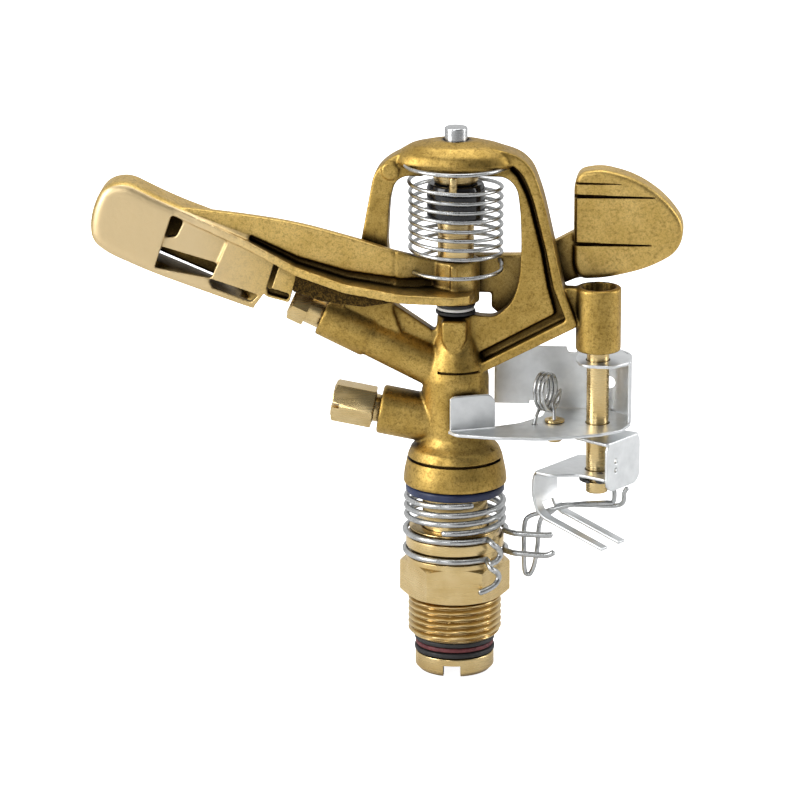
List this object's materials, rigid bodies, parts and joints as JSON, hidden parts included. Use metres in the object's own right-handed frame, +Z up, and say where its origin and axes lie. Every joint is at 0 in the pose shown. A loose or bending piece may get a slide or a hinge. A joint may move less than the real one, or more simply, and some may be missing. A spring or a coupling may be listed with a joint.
{
  "type": "impact sprinkler",
  "caption": "Part-circle brass impact sprinkler with a sprung swinging arm, range and spreader nozzles, trip levers and a male 3/4 inch threaded inlet.",
  "frame": {"origin": "on the head's rotation axis, at the bottom of the slotted bearing tube where the inlet enters the riser", "axes": "+Z up the rotation axis, -X along the jet, +X towards the trip shaft, -Y the front that the trip clips' arms are seen from"},
  "size_m": [0.1649, 0.0325, 0.1575],
  "materials": {
    "machined_brass": "machined, satin",
    "cast_brass": "as cast, satin with darker recesses",
    "steel_wire": "drawn spring wire",
    "sheet_steel": "bright stainless sheet",
    "pin_steel": "turned stainless",
    "dark_steel": "dark oxide",
    "black_rubber": "matt black",
    "blue_seal": "dark blue, slight sheen",
    "red_fibre": "maroon fibre",
    "white_nylon": "natural nylon",
    "black_plastic": "glossy black"
  },
  "bodies": {
    "nipple": {"inlet_nipple": "machined_brass", "pressure_spring": "steel_wire"},
    "upper_clip": {"upper_trip_clip": "steel_wire"},
    "lower_clip": {"lower_trip_clip": "steel_wire"},
    "head": {"bearing_tube": "machined_brass", "lower_rubber_washer": "black_rubber", "fibre_washer": "red_fibre", "upper_rubber_washer": "black_rubber", "dust_seal": "blue_seal", "sprinkler_body": "cast_brass", "main_nozzle": "machined_brass", "spreader_nozzle": "machined_brass", "fulcrum_pin": "pin_steel", "lower_arm_washer": "black_rubber", "nylon_arm_washer": "white_nylon", "upper_arm_washer": "black_rubber", "arm_collar": "machined_brass", "top_bush": "black_plastic", "arm_spring": "steel_wire", "trip_shaft": "machined_brass", "shaft_clip": "dark_steel"},
    "arm": {"impact_arm": "cast_brass"},
    "reverse": {"reverse_lever": "sheet_steel", "spring_post": "machined_brass", "toggle_spring": "steel_wire"},
    "trip": {"trip_lever": "sheet_steel", "trip_wire": "steel_wire"}
  },
  "joints": [
    {"name": "head_turn", "type": "hinge", "parent": "nipple", "child": "head", "pos_m": [0, 0, 0.055], "axis": [0, 0, 1], "range_deg": [0, 320]},
    {"name": "arm_swing", "type": "hinge", "parent": "head", "child": "arm", "pos_m": [0, 0, 0.1136], "axis": [0, 0, 1], "range_deg": [0, 90], "stiffness_Nm_per_rad": 0.01, "springref_deg": -28.65, "deforming": ["arm_spring"]},
    {"name": "trip_lever_pivot", "type": "hinge", "parent": "head", "child": "trip", "pos_m": [0.04, 0, 0.059], "axis": [0, 0, 1], "range_deg": [-20, 5]},
    {"name": "reverse_lever_pivot", "type": "hinge", "parent": "head", "child": "reverse", "pos_m": [0.04, 0, 0.0727], "axis": [0, 0, 1], "range_deg": [-1.25, 5]},
    {"name": "upper_clip_turn", "type": "hinge", "parent": "nipple", "child": "upper_clip", "pos_m": [0, 0, 0.041], "axis": [0, 0, 1], "range_deg": [-90, 0]},
    {"name": "lower_clip_turn", "type": "hinge", "parent": "nipple", "child": "lower_clip", "pos_m": [0, 0, 0.0353], "axis": [0, 0, 1], "range_deg": [-90, 0]}
  ],
  "couplings": [
    {"joint": "reverse_lever_pivot", "follows": "trip_lever_pivot", "ratio": -0.25}
  ]
}
